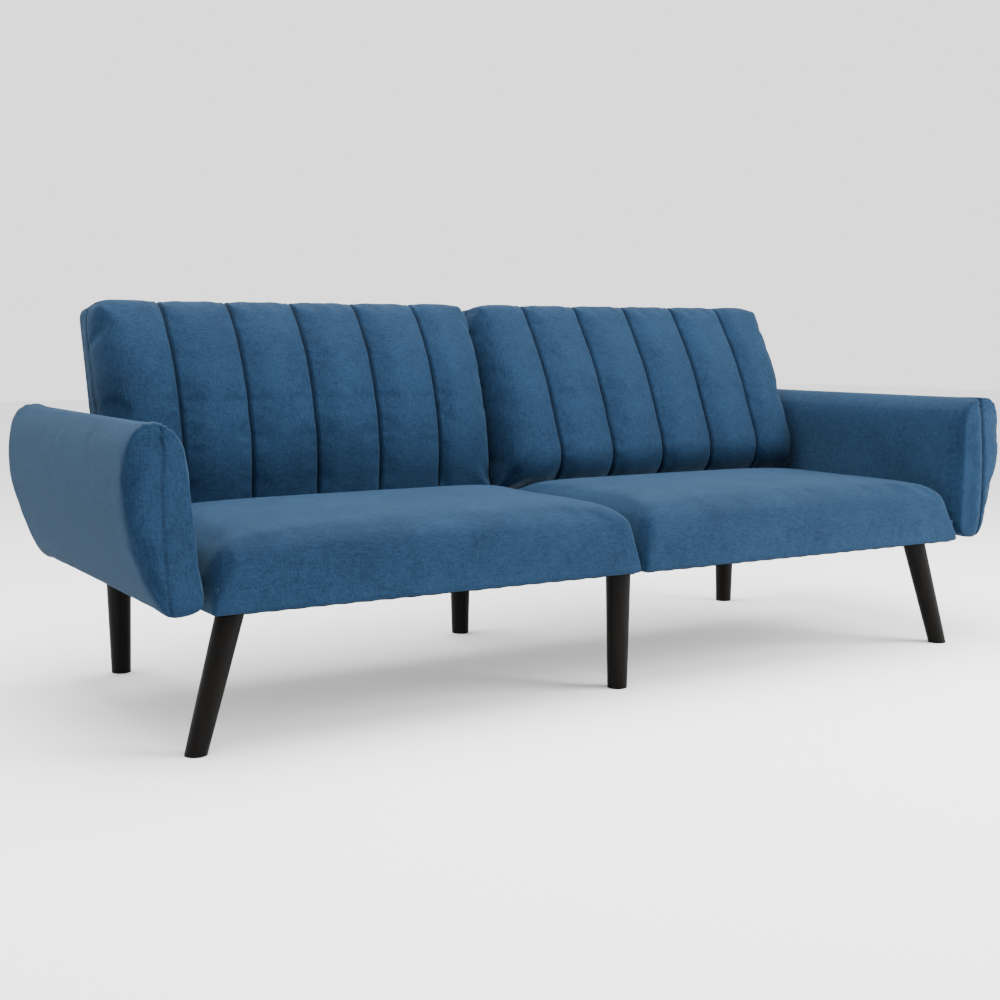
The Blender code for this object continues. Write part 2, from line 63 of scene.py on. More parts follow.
# Cloth simulation: a pad starts INSET too small, and SLACK is how much its cloth is too large. Where
# the cover is free, GIVE is how little it is gripped. No point swells further than CAP.
SIM_FRAMES = 14
SIM_PRESSURE = 4.0
INSET = {"seat": 0.0025, "back": 0.003, "arm": 0.0015}
SLACK = {"seat": 0.012, "back": 0.02, "arm": 0.01}
GIVE = {"seat": 0.93, "back": 0.94}
ARM_GRIP = 0.08
CAP = {"seat": 0.006, "back": 0.007, "arm": 0.005}

# Seat
SEAT_BASE_TOP = 0.373  # the rim's height, before the crown
SEAT_CROWN = 0.021
SEAT_FALL = {"front": 4, "rear": 9, "outer": 4, "gap": 10}  # a higher power falls later and faster
SEAT_WRAP = 0.0105  # cover turned in under the frame
SEAT_FOAM = 0.2995  # height of the foam's underside, inside the frame
SEAT_SOFT = 0.054  # rounding of the front, outer and top edges
SEAT_GAP_SOFT = 0.026  # rounding beside the gap between the halves
SEAT_REAR_SOFT = 0.009
SEAT_REAR_FIRM = 0.7  # share of the top's rounding that is gone at the rear
SEAT_REAR_ZONE = 0.1  # share of the half depth over which the rear face swells
SEAT_REAR_BULGE = 0.027
SEAT_HINGES = (0.83, 0.92)  # share of the half width where the bulge gives way to the hinges
SEAT_STAPLED = (0.008, 0.055)  # heights above the foot: held below the first, free above the second

# Back, in its own frame: X from the middle outwards, Y to its rear, Z up it from the hinge
LEAN = math.radians(15.7)
HINGE = Vector(frame["joints"][0]["pos_m"])
BACK_FOOT = 0.0170
BACK_TOP = 0.479
BACK_INNER = 0.004
BACK_OUTER = 0.903
BACK_SEAM = 0.012  # depth of the front face's edge, before the crown
BACK_REAR = 0.105
BACK_FLAT = 0.075  # depth behind which the pad has no crown
BACK_BLEND = 0.055  # depth over which the crown fades out
BACK_CROWN = {"left": 0.062, "right": 0.064}
BACK_SAG = {"left": -0.05, "right": 0.45}  # how much fuller it is low down
BACK_FOOT_FALL = {"left": 3, "right": 8}  # a higher power keeps it full nearer its foot
BACK_TOP_FALL = 2
BACK_FOOT_FORWARD = 0.015  # the least swell of the lower half
BACK_EDGE_DROP = 0.35  # share of the crown that is lost at the sides
BACK_WRAP = 0.020  # cover turned over the rear of the frame
BACK_FOAM = 0.0518  # depth of the foam's rear, inside the frame
BACK_CORNER = {"left": 0.052, "right": 0.070}  # radius of the outer top corner, seen from the front
BACK_INNER_CORNER = 0.064
BACK_FOOT_CORNER = 0.012
BACK_REAR_CORNER = 0.4  # share of the corners' radius that is left at the rear
BACK_SOFT = 0.030  # rounding of the sides and the top at the front
BACK_FRONT_SOFT = 0.024
BACK_FOOT_SOFT = 0.008
BACK_STAPLED = (0.004, 0.030)  # depths from the rear: held within the first, free past the second
BOXING_SEAM = 0.056
BOXING_DEPTH = 0.0030
BOXING_WIDTH = 0.0026
CHANNELS = 6
CHANNEL_RELIEF = 0.006  # how much lower the pad is at a seam than along a channel's middle
SEAM_DEPTH = 0.006
SEAM_WIDTH = 0.0034
SEAM_WANDER = 0.0012  # how far a seam strays from its straight line
SEAM_HELD = (0.002, 0.010)  # distances from a seam: held within the first, free past the second
GATHER_DEPTH = 0.0016
GATHER_REACH = 0.012
DRAG_DEPTH = 0.0016
PAINTED_SEAM_SHADE = 0.0022  # widths of the painted shade lines along the seams
PAINTED_BOXING_SHADE = 0.0018
PAINTED_ARM_SEAM_SHADE = 0.0017

# Thin cloth
SHEET_STEP = 0.010
STAPLE_PITCH = 0.045
STAPLE_REACH = 0.030  # how far in from the edge the staples still pull
DUST_SAG = 0.0020
DUST_PULL = 0.0012
LINING_EDGE = 0.010  # cover left showing round the lining
LINING_GAP = 0.0008
LINING_PULL = 0.0010

# Arm
ARM_HALF = 0.4125
ARM_END_SOFT = 0.010
ARM_RIM = 0.007
ARM_INNER = 0.9115
ARM_SWELL = {"left": 1.10, "right": 0.98}
ARM_FLARE = {"left": 0.95, "right": 0.10}
ARM_LINES_UP = 16
ARM_LINES_ACROSS = 5
ARM_WIDE = 0.10  # the section's width, roughly, which turns shares across it into metres
ARM_SEAM = 0.5  # share across the section where the seam's cage line is
ARM_SEAM_TOP = 0.42  # shares across the section where the seam runs, at its top and its foot
ARM_SEAM_FOOT = 0.66
ARM_SEAM_CURVE = 1.5  # above 1, the seam bends most near its foot
ARM_SEAM_DEPTH = {"left": 0.0012, "right": 0.0036}
ARM_SEAM_WIDTH = 0.0028
ARM_SEAM_WANDER = 0.0008
ARM_GATHER = (0.990, 0.572)  # where the cover is gathered: distance from the middle, and height
ARM_GATHER_DEPTH = 0.0014
ARM_RIPPLE_DEPTH = 0.0009

# Studio
FLOOR_HALF = 14.0
FLOOR_DROP = 0.0005
SURROUND = 1.9


# ---------------------------------------------------------------- mesh building


def spread(low, high, step, marks=(), near=()):
    """Grid places from low to high, with lines at the marks and close beside them."""
    stops = {low, high}
    for mark in marks:
        stops.update((mark, *(mark - n for n in near), *(mark + n for n in near)))
    stops = sorted(stop for stop in stops if low <= stop <= high)
    places = [stops[0]]
    for start, end in zip(stops, stops[1:]):
        count = max(1, round((end - start) / step))
        places += [start + (end - start) * k / count for k in range(1, count + 1)]
    return places


def lattice(name, side, xs, ys, zs, place, creased=None, tag=None):
    """A closed mesh over a grid block's surface, for one side of the sofa.

    place(x, y, z) gives each point, with x measured from the middle outwards. An edge between two
    points that creased(x, y, z) picks stays sharp when the mesh is subdivided. tag(x, y, z) is kept
    on the points as the attribute "tag".
    """
    last = (len(xs) - 1, len(ys) - 1, len(zs) - 1)
    index, points, sharp, tags = {}, [], set(), []
    for i, x in enumerate(xs):
        for j, y in enumerate(ys):
            for k, z in enumerate(zs):
                if i in (0, last[0]) or j in (0, last[1]) or k in (0, last[2]):
                    if creased and creased(x, y, z):
                        sharp.add(len(points))
                    index[i, j, k] = len(points)
                    tags.append(tag(x, y, z) if tag else 0.0)
                    point = place(x, y, z)
                    points.append((side * point[0], point[1], point[2]))
    faces = []
    for axis in range(3):
        first, second = (axis + 1) % 3, (axis + 2) % 3
        for a in range(last[first]):
            for b in range(last[second]):
                for end in (0, last[axis]):
                    corners = []
                    for da, db in ((0, 0), (1, 0), (1, 1), (0, 1)):
                        at = [0, 0, 0]
                        at[axis], at[first], at[second] = end, a + da, b + db
                        corners.append(index[tuple(at)])
                    faces.append(corners if bool(end) == (side > 0) else corners[::-1])
    mesh = bpy.data.meshes.new(name)
    mesh.from_pydata(points, [], faces)
    mesh.update()
    mesh.attributes.new("tag", "FLOAT", "POINT").data.foreach_set("value", tags)
    crease = mesh.attributes.new("crease_edge", "FLOAT", "EDGE")
    for edge in mesh.edges:
        if edge.vertices[0] in sharp and edge.vertices[1] in sharp:
            crease.data[edge.index].value = 1.0
    obj = bpy.data.objects.new(name, mesh)
    SCENE.collection.objects.link(obj)
    return obj


def settle(obj):
    """Applies every modifier of the object to its mesh."""
    graph = bpy.context.evaluated_depsgraph_get()
    mesh = bpy.data.meshes.new_from_object(obj.evaluated_get(graph))
    obj.modifiers.clear()
    obj.data = mesh


def subdivide(obj):
    """One level of subdivision, applied."""
    modifier = obj.modifiers.new("subdivide", "SUBSURF")
    modifier.levels = 1
    modifier.render_levels = 1
    settle(obj)


def points_of(obj):
    points = np.empty(len(obj.data.vertices) * 3)
    obj.data.vertices.foreach_get("co", points)
    return points.reshape(-1, 3)


def normals_of(obj):
    normals = np.empty(len(obj.data.vertices) * 3)
    obj.data.vertex_normals.foreach_get("vector", normals)
    return normals.reshape(-1, 3)


def set_points(obj, points):
    obj.data.vertices.foreach_set("co", points.ravel())
    obj.data.update()


def step_up(low, high, value):
    """0 below low, 1 above high, smooth between."""
    t = np.clip((value - low) / (high - low), 0.0, 1.0)
    return t * t * (3.0 - 2.0 * t)


def ripple(points, scale, seed):
    """Smooth noise from -1 to 1 at each point, where scale is the waves per metre on each axis."""
    offset = Vector((seed * 7.3, seed * 3.1, seed * 5.7))
    return np.array([noise.noise(Vector(p * scale) + offset) for p in points])


def read_tags(obj):
    tags = np.empty(len(obj.data.vertices))
    obj.data.attributes["tag"].data.foreach_get("value", tags)
    return tags


def paint_seam_shade(obj, share):
    """Painted shade along the seams, from 0 to 1, by which the material darkens the colour."""
    obj.data.attributes.new("seam_hold_and_painted_shade", "FLOAT", "POINT").data.foreach_set("value", share)


def line(distance, width):
    """1 on a line and 0 away from it, where width is about half as wide as the mark it leaves."""
    return np.exp(-((distance / width) ** 2))


def folds(first, second, centre, count, reach, phase):
    """Small folds that radiate from a point, from -1 to 1, strongest at reach from it."""
    away = np.hypot(first - centre[0], second - centre[1]) / reach
    angle = np.arctan2(second - centre[1], first - centre[0])
    return np.sin(count * angle + phase) * away * np.exp(1.0 - away * away)


def round_off(point, low, high, soft_low, soft_high):
    """A point of a block, moved to where it lies once the block's edges are rounded.

    soft_low and soft_high say how far the rounding reaches in from the low and the high sides.
    """
    core = Vector(point)
    reach = Vector((1.0, 1.0, 1.0))
    for k in range(3):
        if point[k] < low[k] + soft_low[k]:
            core[k], reach[k] = low[k] + soft_low[k], soft_low[k]
        elif point[k] > high[k] - soft_high[k]:
            core[k], reach[k] = high[k] - soft_high[k], soft_high[k]
    away = Vector([(point[k] - core[k]) / reach[k] for k in range(3)])
    if away.length < 1e-9:
        return core
    away *= max(abs(part) for part in away) / away.length
    return Vector([core[k] + away[k] * reach[k] for k in range(3)])


def simulate(obj, hold, slack):
    """Cloth simulation under pressure. hold is each point's grip, from 0 to 1. Returns each point's move."""
    rest = points_of(obj)
    group = obj.vertex_groups.new(name="hold")
    for vertex, grip in enumerate(hold):
        group.add([vertex], float(grip), "REPLACE")
    cloth = obj.modifiers.new("cloth", "CLOTH")
    settings = cloth.settings
    settings.quality = 4
    settings.mass = 0.3
    settings.tension_stiffness = 20.0
    settings.compression_stiffness = 20.0
    settings.shear_stiffness = 8.0
    settings.bending_stiffness = 0.6
    settings.use_pressure = True
    settings.uniform_pressure_force = SIM_PRESSURE
    settings.vertex_group_mass = "hold"
    settings.pin_stiffness = 1.0
    settings.shrink_min = -slack
    settings.effector_weights.gravity = 0.0
    cloth.point_cache.frame_start = 1
    cloth.point_cache.frame_end = SIM_FRAMES
    for number in range(1, SIM_FRAMES + 1):
        SCENE.frame_set(number)
    settle(obj)
    SCENE.frame_set(1)
    return points_of(obj) - rest


def inflate(obj, kind, side, hold):
    """The cover swells off its foam. The two sides mirror each other, so one simulation serves both."""
    rest = points_of(obj)
    mirror = np.array((side, 1.0, 1.0))
    if kind not in SWELLS:
        SWELLS[kind] = simulate(obj, hold, SLACK[kind]) * mirror
    move = SWELLS[kind] * mirror
    length = np.linalg.norm(move, axis=1, keepdims=True) + 1e-9
    set_points(obj, rest + move / length * CAP[kind] * np.tanh(length / CAP[kind]))


def sink_panel(obj, axis, low, high, depth):
    """Opens a flat side inside the rectangle low to high and closes it at depth, with straight walls."""
    bm = bmesh.new()
    bm.from_mesh(obj.data)

    def inside(vert):
        return all(low[k] - 1e-4 < vert.co[k] < high[k] + 1e-4 for k in range(3))

    panel = [face for face in bm.faces if all(inside(vert) for vert in face.verts)]
    bmesh.ops.delete(bm, geom=panel, context="FACES")
    rim = [edge for edge in bm.edges if edge.is_boundary]
    wall = bmesh.ops.extrude_edge_only(bm, edges=rim)["geom"]
    for vert in wall:
        if isinstance(vert, bmesh.types.BMVert):
            vert.co[axis] = depth
    rim = [edge for edge in bm.edges if edge.is_boundary]
    bmesh.ops.contextual_create(bm, geom=rim)
    bmesh.ops.recalc_face_normals(bm, faces=bm.faces)
    bm.to_mesh(obj.data)
    bm.free()


def finish_piece(obj, body, material, nodes):
    """Smooth shading, material and the frame's bookkeeping."""
    obj.data.materials.clear()
    obj.data.materials.append(material)
    for polygon in obj.data.polygons:
        polygon.use_smooth = True
    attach(obj, body)
    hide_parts(*nodes)


# ---------------------------------------------------------------- seat


def make_seat(word, side, material):
    """One seat half: a crowned pad with its cover wrapped down round the frame."""
    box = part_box(f"seat_cushion_{word}")
    inner, outer = sorted(abs(corner.x) for corner in box)
    low = Vector((inner, box[0].y, box[0].z))
    high = Vector((outer, box[1].y, SEAT_BASE_TOP))
    panel_low = low + Vector((SEAT_WRAP, SEAT_WRAP, 0.0))
    panel_high = Vector((high.x - SEAT_WRAP, high.y - SEAT_WRAP, low.z))
    xs = spread(low.x, high.x, CAGE_STEP, (panel_low.x, panel_high.x))
    ys = spread(low.y, high.y, CAGE_STEP, (panel_low.y, panel_high.y))
    zs = spread(low.z, high.z, CAGE_STEP, (low.z + RIM,))
    middle = (low + high) / 2

    def place(x, y, z):
        """Rounds the block more the higher up, crowns its top and swells its rear towards the backs."""
        rise = (z - low.z) / (high.z - low.z)
        share = min(max(rise * 2.0 - 0.1, 0.0), 1.0)  # full just above half height
        soft = RIM + (SEAT_SOFT - RIM) * share
        to_rear = min(max((y - middle.y) / (high.y - middle.y) * 1.6 - 0.6, 0.0), 1.0)
        gap_soft = RIM + (SEAT_GAP_SOFT - RIM) * share * (1.0 - SEAT_REAR_FIRM * to_rear)
        rear_soft = RIM + (SEAT_REAR_SOFT - RIM) * share
        top_soft = SEAT_SOFT * (1.0 - SEAT_REAR_FIRM * to_rear)
        at = round_off((x, y, z), low, high, (gap_soft, soft, RIM), (soft, rear_soft, top_soft))
        across = (at.x - middle.x) / (high.x - middle.x)
        along = (at.y - middle.y) / (high.y - middle.y)
        fall_along = along ** SEAT_FALL["front" if along < 0 else "rear"]
        fall_across = across ** SEAT_FALL["outer" if across > 0 else "gap"]
        at.z += SEAT_CROWN * (1.0 - fall_across) * (1.0 - fall_along) * rise**3
        past_rear = along - (1.0 - SEAT_REAR_ZONE)
        if past_rear > 0.0:
            clear_of_hinges = 1.0 - step_up(*SEAT_HINGES, abs(across))
            # fullest below the top edge, which leaves room for the backs' feet
            pressed = step_up(0.30, 0.60, rise) * (1.0 - 0.45 * step_up(0.85, 1.0, rise))
            at.y += SEAT_REAR_BULGE * clear_of_hinges * pressed * past_rear / SEAT_REAR_ZONE
        return at

    def on_panel_edge(x, y, z):
        return z == low.z and (x in (panel_low.x, panel_high.x) or y in (panel_low.y, panel_high.y))

    seat = lattice(f"seat_pad_{word}", side, xs, ys, zs, place, on_panel_edge)
    subdivide(seat)
    points = points_of(seat)
    held, loose = SEAT_STAPLED
    free = step_up(low.z + held, low.z + loose, points[:, 2])
    set_points(seat, points - normals_of(seat) * INSET["seat"] * free[:, None])
    inflate(seat, "seat", side, 1.0 - GIVE["seat"] * free)
    subdivide(seat)
    ends = sorted((side * panel_low.x, side * panel_high.x))
    sink_panel(seat, 2, (ends[0], panel_low.y, low.z), (ends[1], panel_high.y, low.z), SEAT_FOAM)
    finish_piece(seat, "root", material, [f"seat_cushion_{word}"])


# ---------------------------------------------------------------- back


def seam_places():
    """The x of a back half's channel seams, from the middle outwards."""
    pitch = (BACK_OUTER - BACK_INNER) / CHANNELS
    return [BACK_INNER + pitch * k for k in range(1, CHANNELS)]


def make_back(word, side, material):
    """One back half: a swollen pad sewn into six channels, boxed at its rear."""
    low = Vector((BACK_INNER, BACK_SEAM, BACK_FOOT))
    high = Vector((BACK_OUTER, BACK_REAR, BACK_TOP))
    panel_low = Vector((low.x + BACK_WRAP, high.y, low.z + BACK_WRAP))
    panel_high = Vector((high.x - BACK_WRAP, high.y, high.z - BACK_WRAP))
    seams = seam_places()
    xs = spread(low.x, high.x, CAGE_STEP, seams, (SEAM_STEP,))
    xs = sorted({*xs, panel_low.x, panel_high.x})
    beside_boxing = (BOXING_SEAM - SEAM_STEP, BOXING_SEAM + SEAM_STEP)
    ys = spread(low.y, high.y, CAGE_STEP, (*beside_boxing, high.y - RIM))
    zs = spread(low.z, high.z, CAGE_STEP, (low.z + RIM, panel_low.z, panel_high.z))
    middle = (low + high) / 2
    pitch = (high.x - low.x) / CHANNELS
    crown, sag = BACK_CROWN[word], BACK_SAG[word]

    def place(x, y, z):
        """Rounds the block's corners, then its edges, and swells its front in channels."""
        front = min(max((BACK_FLAT - y) / BACK_BLEND, 0.0), 1.0)
        soft = RIM + (BACK_SOFT - RIM) * front
        corner_share = BACK_REAR_CORNER + (1.0 - BACK_REAR_CORNER) * front
        outer = BACK_CORNER[word] * corner_share
        inner = BACK_INNER_CORNER * corner_share if z > middle.z else BACK_FOOT_CORNER
        flat = round_off((x, middle.y, z), low, high, (inner, RIM, BACK_FOOT_CORNER), (outer, RIM, outer))
        edges_low = (soft, BACK_FRONT_SOFT, BACK_FOOT_SOFT)
        at = round_off((flat.x, y, flat.z), low, high, edges_low, (soft, RIM, soft))
        across = (at.x - middle.x) / (high.x - middle.x)
        up = (at.z - middle.z) / (high.z - middle.z)
        channel = abs(((at.x - low.x) / pitch) % 1.0 * 2.0 - 1.0)
        full = (1.0 - abs(up) ** (BACK_FOOT_FALL[word] if up < 0 else BACK_TOP_FALL)) * (1.0 - sag * up)
        swell = crown * full * (1.0 - BACK_EDGE_DROP * across**10) - CHANNEL_RELIEF * channel**4
        at.y -= front * max(swell, BACK_FOOT_FORWARD if up < 0 else 0.0)
        return at

    def on_panel_edge(x, y, z):
        return y == high.y and (x in (panel_low.x, panel_high.x) or z in (panel_low.z, panel_high.z))

    def depth(x, y, z):
        return y

    back = lattice(f"back_pad_{word}", side, xs, ys, zs, place, on_panel_edge, depth)
    back.matrix_world = Matrix.Translation((0, HINGE.y, HINGE.z)) @ Matrix.Rotation(-LEAN, 4, "X")
    subdivide(back)
    points = points_of(back)
    to_seam = np.min(np.abs(np.abs(points[:, 0, None]) - np.array(seams)[None, :]), axis=1)
    held, loose = BACK_STAPLED
    free = step_up(BACK_REAR - held, BACK_REAR - loose, points[:, 1])
    set_points(back, points - normals_of(back) * INSET["back"] * free[:, None])
    seam_hold_and_painted_shade = 1.0 - step_up(*SEAM_HELD, to_seam)
    inflate(back, "back", side, 1.0 - GIVE["back"] * free * (1.0 - seam_hold_and_painted_shade))
    subdivide(back)
    carve_channels(back, side, seams)
    ends = sorted((side * panel_low.x, side * panel_high.x))
    sink_panel(back, 1, (ends[0], high.y, panel_low.z), (ends[1], high.y, panel_high.z), BACK_FOAM)
    finish_piece(back, f"back_{word}", material, [f"back_cushion_{word}"])


def carve_channels(back, side, seams):
    """Sinks the sewn seams into the cover, with gathers along them and drag folds at the corners, and paints
    shade along the seams.
    """
    points = points_of(back)
    normals = normals_of(back)
    x, y, z = np.abs(points[:, 0]), points[:, 1], points[:, 2]
    away = x[:, None] - np.array(seams)[None, :]
    nearest = np.argmin(np.abs(away), axis=1)
    seed = nearest[:, None] * (3.0, 0.0, 0.0)
    wander = ripple(points * (0.0, 0.0, 1.0) + seed, 22.0, 1 + side)
    offset = away[np.arange(len(points)), nearest] + SEAM_WANDER * wander
    front = 1.0 - step_up(0.020, 0.070, y)
    groove = line(offset, SEAM_WIDTH) * front
    gathers = ripple(points * (0.35, 0.35, 1.0) + seed, 55.0, 4 + side)
    gathers *= np.exp(-np.abs(offset) / GATHER_REACH) * (1.0 - groove) * front
    drag = folds(x, z, (BACK_INNER, BACK_FOOT), 9.0, 0.060, side)
    drag += folds(x, z, (BACK_OUTER, BACK_FOOT), 9.0, 0.060, 1.0)
    drag += 0.6 * folds(x, z, (BACK_INNER, BACK_TOP), 7.0, 0.055, 2.0)
    drag += 0.6 * folds(x, z, (BACK_OUTER, BACK_TOP), 7.0, 0.055, 2.0 + side)
    from_boxing = read_tags(back) - BOXING_SEAM
    boxing = line(from_boxing, BOXING_WIDTH)
    sink = SEAM_DEPTH * groove + GATHER_DEPTH * gathers + DRAG_DEPTH * drag * front + BOXING_DEPTH * boxing
    set_points(back, points - normals * sink[:, None])
    # Painted shade: the colour is darkened along the channel seams and the boxing seam.
    dark = np.maximum(line(offset, PAINTED_SEAM_SHADE) * front, 0.9 * line(from_boxing, PAINTED_BOXING_SHADE))
    paint_seam_shade(back, dark)


# ---------------------------------------------------------------- arm


def closed_curve(points, steps):
    """A smooth closed curve through the points, with the given steps between each pair."""
    count = len(points)
    curve = []
    for n in range(count):
        p0, p1, p2, p3 = (Vector(points[(n + k - 1) % count]) for k in range(4))
        for s in range(steps):
            t = s / steps
            curve.append(
                0.5 * (2 * p1 + (p2 - p0) * t + (2 * p0 - 5 * p1 + 4 * p2 - p3) * t**2
                       + (3 * p1 - p0 - 3 * p2 + p3) * t**3)
            )
    return curve


def along(curve, share):
    """The point at a share of the length of an open chain of points."""
    lengths = [0.0]
    for a, b in zip(curve, curve[1:]):
        lengths.append(lengths[-1] + (b - a).length)
    want = share * lengths[-1]
    for k in range(1, len(curve)):
        if lengths[k] >= want:
            part = (want - lengths[k - 1]) / max(lengths[k] - lengths[k - 1], 1e-9)
            return curve[k - 1].lerp(curve[k], part)
    return curve[-1]


def arm_chains(swell, flare):
    """The arm's section as four chains of (distance from the middle, height).

    swell scales its width, and flare says how far its inner side leans outwards.
    """
    inner = [(ARM_INNER, 0.262), (0.918, 0.330), (0.928, 0.440), (0.941, 0.535)]
    roll = [(0.960, 0.573), (0.992, 0.590), (1.016, 0.582), (1.031, 0.545)]
    belly = [(1.0375, 0.478), (1.033, 0.420), (1.014, 0.345), (0.989, 0.279)]
    foot = [(0.970, 0.2545), (0.935, 0.2520)]
    shares = [flare] * len(inner) + [(1.0 + flare) / 2]
    shares += [swell] * (len(roll) - 1 + len(belly) + len(foot))
    outline = [
        (ARM_INNER + (x - ARM_INNER) * share, z)
        for (x, z), share in zip(inner + roll + belly + foot, shares)
    ]
    steps = 8
    loop = closed_curve(outline, steps)
    loop.append(loop[0])
    corners = (0, 3.4, 6.6, 11, 14)  # where each chain starts and ends, counted in outline points
    cuts = [round(corner * steps) for corner in corners]
    return [loop[a : b + 1] for a, b in zip(cuts, cuts[1:])]


def make_arm(word, side, material):
    """The rolled arm: its section swept from front to rear, with padded ends."""
    inner, top, outer, bottom = arm_chains(ARM_SWELL[word], ARM_FLARE[word])
    outer = outer[::-1]
    bottom = bottom[::-1]
    lower_inner, upper_inner, lower_outer, upper_outer = inner[0], inner[-1], outer[0], outer[-1]

    def section(a, b):
        """The point at a share a across and b up the section, blended from its four chains."""
        sides = along(inner, b) * (1 - a) + along(outer, b) * a
        ends = along(bottom, a) * (1 - b) + along(top, a) * b
        corners = (lower_inner * (1 - a) + lower_outer * a) * (1 - b)
        corners += (upper_inner * (1 - a) + upper_outer * a) * b
        return sides + ends - corners

    def place(a, y, b):
        """The section's point, with the cage lines bent so that one follows the seam."""
        lean = (ARM_SEAM_TOP - ARM_SEAM) + (ARM_SEAM_FOOT - ARM_SEAM_TOP) * (1.0 - b) ** ARM_SEAM_CURVE
        bend = 1.0 - abs(a - ARM_SEAM) / (ARM_SEAM if a < ARM_SEAM else 1.0 - ARM_SEAM)
        at = section(a + lean * bend, b)
        return Vector((at.x, y, at.y))

    def from_seam(a, y, b):
        return (a - ARM_SEAM) * ARM_WIDE

    across = spread(0.0, 1.0, 1.0 / ARM_LINES_ACROSS, (ARM_SEAM,), (SEAM_STEP / ARM_WIDE,))
    up = [k / ARM_LINES_UP for k in range(ARM_LINES_UP + 1)]
    ys = spread(-ARM_HALF, ARM_HALF, CAGE_STEP, (ARM_RIM - ARM_HALF, ARM_HALF - ARM_RIM))
    arm = lattice(f"arm_cover_{word}", side, across, ys, up, place, tag=from_seam)
    soften_ends(arm)
    subdivide(arm)
    points = points_of(arm)
    set_points(arm, points - normals_of(arm) * INSET["arm"])
    inflate(arm, "arm", side, np.full(len(points), ARM_GRIP))
    subdivide(arm)
    carve_arm(arm, side, ARM_SEAM_DEPTH[word])
    finish_piece(arm, "root", material, [f"arm_pad_{word}"])


def carve_arm(arm, side, depth):
    """The seam down each end of the arm with painted shade along it, and the gathers where the cover turns
    over the roll.
    """
    points = points_of(arm)
    normals = normals_of(arm)
    x, y, z = np.abs(points[:, 0]), points[:, 1], points[:, 2]
    on_end = step_up(ARM_HALF - 0.020, ARM_HALF - 0.006, np.abs(y))
    wander = ARM_SEAM_WANDER * ripple(points * (0.0, 0.0, 1.0), 40.0, 9 + side)
    offset = read_tags(arm) + wander
    seam = line(offset, ARM_SEAM_WIDTH) * on_end
    near_end = step_up(ARM_HALF - 0.070, ARM_HALF - 0.010, np.abs(y))
    gathers = folds(x, z, ARM_GATHER, 13.0, 0.022, side) * near_end
    beside = ripple(points * (0.4, 0.4, 1.0), 60.0, 12 + side) * np.exp(-np.abs(offset) / 0.014) * on_end
    sink = depth * seam + ARM_GATHER_DEPTH * gathers + ARM_RIPPLE_DEPTH * beside * (1.0 - seam)
    set_points(arm, points - normals * sink[:, None])
    # Painted shade: the colour is darkened along the arm's seam, more where the seam is deeper.
    paint_seam_shade(arm, line(offset, PAINTED_ARM_SEAM_SHADE) * on_end * depth / max(ARM_SEAM_DEPTH.values()))


def soften_ends(arm):
    """Rounds the rims of both ends, pulling the section in towards its own middle line."""
    points = points_of(arm)
    from_end = ARM_HALF - np.abs(points[:, 1])
    round_share = np.clip(1.0 - from_end / ARM_END_SOFT, 0.0, 1.0)
    pull = ARM_END_SOFT * (1.0 - np.sqrt(1.0 - (0.9 * round_share) ** 2))
    inward = -normals_of(arm)
    inward[:, 1] = 0.0
    set_points(arm, points + inward * pull[:, None])


# ---------------------------------------------------------------- thin cloth


def make_sheet(name, low, high, level, axis, pull):
    """A thin panel stretched and stapled at its edges, with slight pulls between the staples."""
    first, second = [k for k in range(3) if k != axis]
    rows = spread(low[first], high[first], SHEET_STEP)
    columns = spread(low[second], high[second], SHEET_STEP)
    points = []
    for a in rows:
        for b in columns:
            edge = min(a - low[first], high[first] - a, b - low[second], high[second] - b)
            fade = math.exp(-edge / STAPLE_REACH)
            beside = a if edge in (b - low[second], high[second] - b) else b
            staple = math.cos(beside * math.tau / STAPLE_PITCH)
            drift = noise.noise((a * 7.0, b * 7.0, 3.0))
            point = [0.0, 0.0, 0.0]
            point[first], point[second] = a, b
            point[axis] = level + pull * (0.5 * staple * fade + 0.5 * drift)
            points.append(point)
    wide = len(columns)
    faces = []
    for i in range(len(rows) - 1):
        for j in range(wide - 1):
            corner = i * wide + j
            faces.append((corner, corner + 1, corner + wide + 1, corner + wide))
    mesh = bpy.data.meshes.new(name)
    mesh.from_pydata(points, [], faces)
    sheet = bpy.data.objects.new(name, mesh)
    SCENE.collection.objects.link(sheet)
    return sheet


def make_dust_cover(word, material):
    """The black cloth under a seat half."""
    low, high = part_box(f"dust_cover_{word}")
    sheet = make_sheet(f"dust_cloth_{word}", low, high, low.z - DUST_SAG, 2, DUST_PULL)
    finish_piece(sheet, "root", material, [f"dust_cover_{word}"])


def make_lining(word, side, material):
    """The black cloth over the rear of a back half, lapped over the cover's turned edge."""
    lap = BACK_WRAP - LINING_EDGE
    ends = sorted((side * (BACK_INNER + lap), side * (BACK_OUTER - lap)))
    low = Vector((ends[0], BACK_REAR, BACK_FOOT + lap))
    high = Vector((ends[1], BACK_REAR, BACK_TOP - lap))
    sheet = make_sheet(f"rear_cloth_{word}", low, high, BACK_REAR + LINING_GAP, 1, LINING_PULL)
    sheet.matrix_world = Matrix.Translation((0, HINGE.y, HINGE.z)) @ Matrix.Rotation(-LEAN, 4, "X")
    finish_piece(sheet, f"back_{word}", material, [f"back_lining_{word}"])


# ---------------------------------------------------------------- materials


